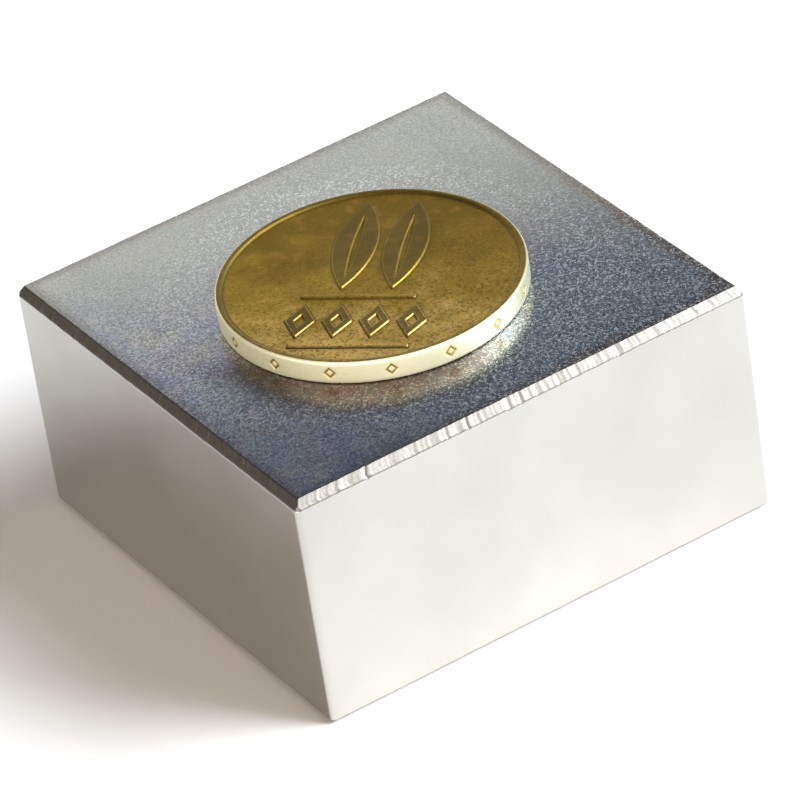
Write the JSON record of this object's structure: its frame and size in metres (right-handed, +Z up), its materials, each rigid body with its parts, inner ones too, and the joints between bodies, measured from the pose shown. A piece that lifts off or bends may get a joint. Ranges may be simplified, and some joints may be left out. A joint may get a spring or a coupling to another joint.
{
  "type": "block magnet with coin",
  "caption": "Square nickel-plated block magnet with ground, chamfered edges and a struck brass coin lying loose on its top face.",
  "frame": {"origin": "centre of the magnet's bottom face, on the surface it stands on", "axes": "+Z up along the magnetised direction, from the bottom pole face to the one that carries the coin; X and Y square to the sides"},
  "size_m": [0.04, 0.04, 0.0219],
  "materials": {
    "sintered_magnet": "ground, matt",
    "nickel_underlayer": "dull plated",
    "plated_copper": "dull plated",
    "nickel_plate": "satin plated",
    "coin_brass": "struck, toned"
  },
  "bodies": {
    "magnet": {"magnet_core": "sintered_magnet", "nickel_undercoat": "nickel_underlayer", "copper_layer": "plated_copper", "nickel_topcoat": "nickel_plate"},
    "coin": {"coin": "coin_brass"}
  },
  "joints": [
    {"name": "coin_lift", "type": "slide", "parent": "magnet", "child": "coin", "axis": [0, 0, 1], "range_m": [0, 0.03]}
  ]
}
